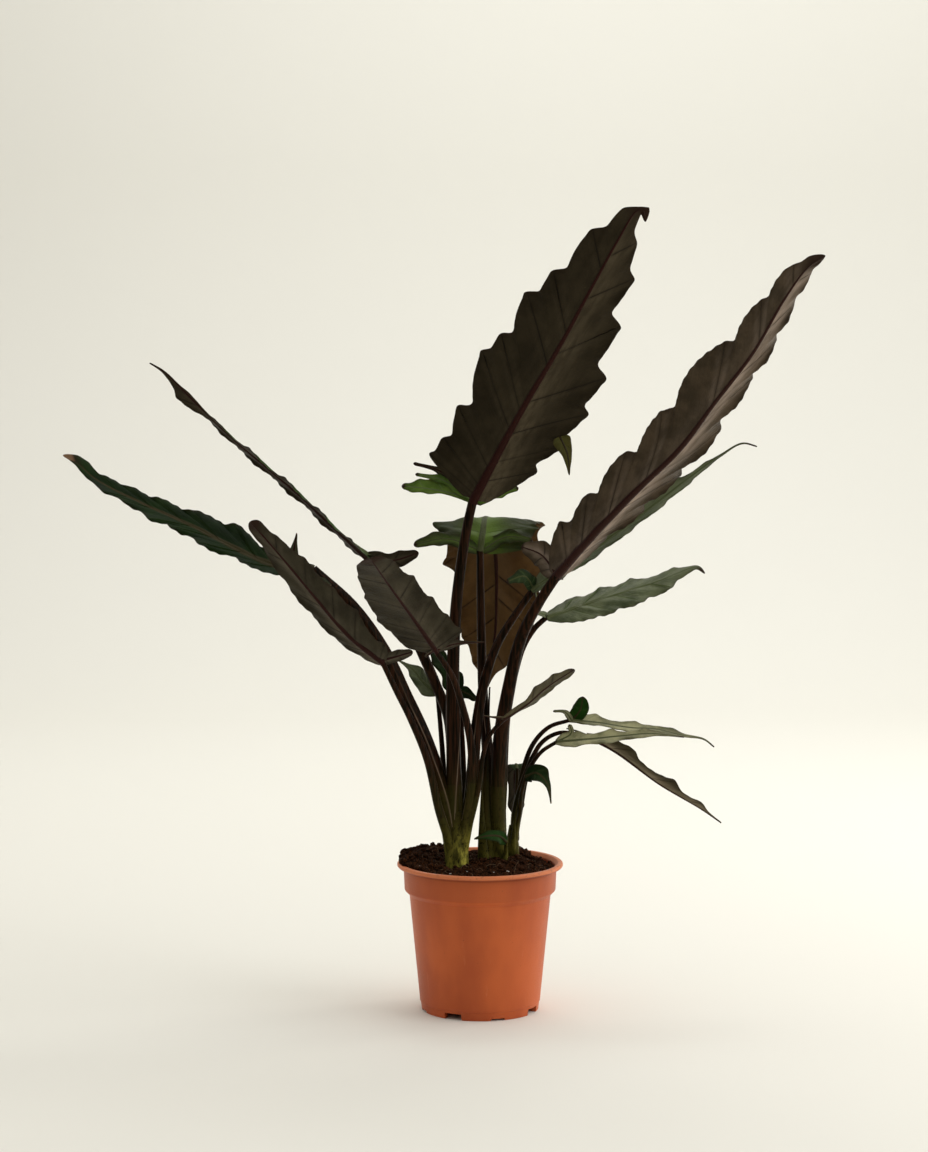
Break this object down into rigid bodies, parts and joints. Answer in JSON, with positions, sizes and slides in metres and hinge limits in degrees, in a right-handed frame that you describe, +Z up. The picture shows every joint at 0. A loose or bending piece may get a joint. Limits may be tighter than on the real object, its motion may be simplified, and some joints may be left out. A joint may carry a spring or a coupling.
{
  "type": "potted alocasia lauterbachiana",
  "caption": "Aroid house plant with long sword-shaped, wavy-edged dark leaves on slim upright stalks, in a round terracotta-coloured nursery pot with soil.",
  "frame": {"origin": "centre of the pot's foot, on the surface that it stands on", "axes": "+Z up along the pot's axis, +X to the viewer's right in the picture, -Y towards the viewer"},
  "size_m": [0.7552, 0.3126, 0.8115],
  "materials": {
    "pot": "satin moulded plastic, terracotta colour",
    "soil": "dark crumbly peat",
    "shoot": "smooth olive sheath",
    "stalk": "smooth dark maroon stalk",
    "blade": "glossy dark green above, purple brown below"
  },
  "bodies": {
    "root": {"pot": "pot", "front_shoot": "shoot", "rear_shoot": "shoot", "side_shoot": "shoot", "tall_leaf_blade": "blade", "arching_leaf_blade": "blade", "right_long_leaf_blade": "blade", "right_rear_leaf_blade": "blade", "right_middle_leaf_blade": "blade", "right_small_leaf_blade": "blade", "drooping_upper_leaf_blade": "blade", "drooping_middle_leaf_blade": "blade", "drooping_lower_leaf_blade": "blade", "low_right_leaf_blade": "blade", "low_rear_leaf_blade": "blade", "base_leaf_blade": "blade", "left_upper_leaf_blade": "blade", "left_inner_leaf_blade": "blade", "left_front_leaf_blade": "blade", "left_long_leaf_blade": "blade", "inner_small_leaf_blade": "blade", "inner_rear_leaf_blade": "blade", "tall_leaf_stalk": "stalk", "arching_leaf_stalk": "stalk", "right_long_leaf_stalk": "stalk", "right_rear_leaf_stalk": "stalk", "right_middle_leaf_stalk": "stalk", "right_small_leaf_stalk": "stalk", "drooping_upper_leaf_stalk": "stalk", "drooping_middle_leaf_stalk": "stalk", "drooping_lower_leaf_stalk": "stalk", "low_right_leaf_stalk": "stalk", "low_rear_leaf_stalk": "stalk", "base_leaf_stalk": "stalk", "left_upper_leaf_stalk": "stalk", "left_inner_leaf_stalk": "stalk", "left_front_leaf_stalk": "stalk", "left_long_leaf_stalk": "stalk", "inner_small_leaf_stalk": "stalk", "inner_rear_leaf_stalk": "stalk", "soil": "soil"}
  },
  "joints": []
}
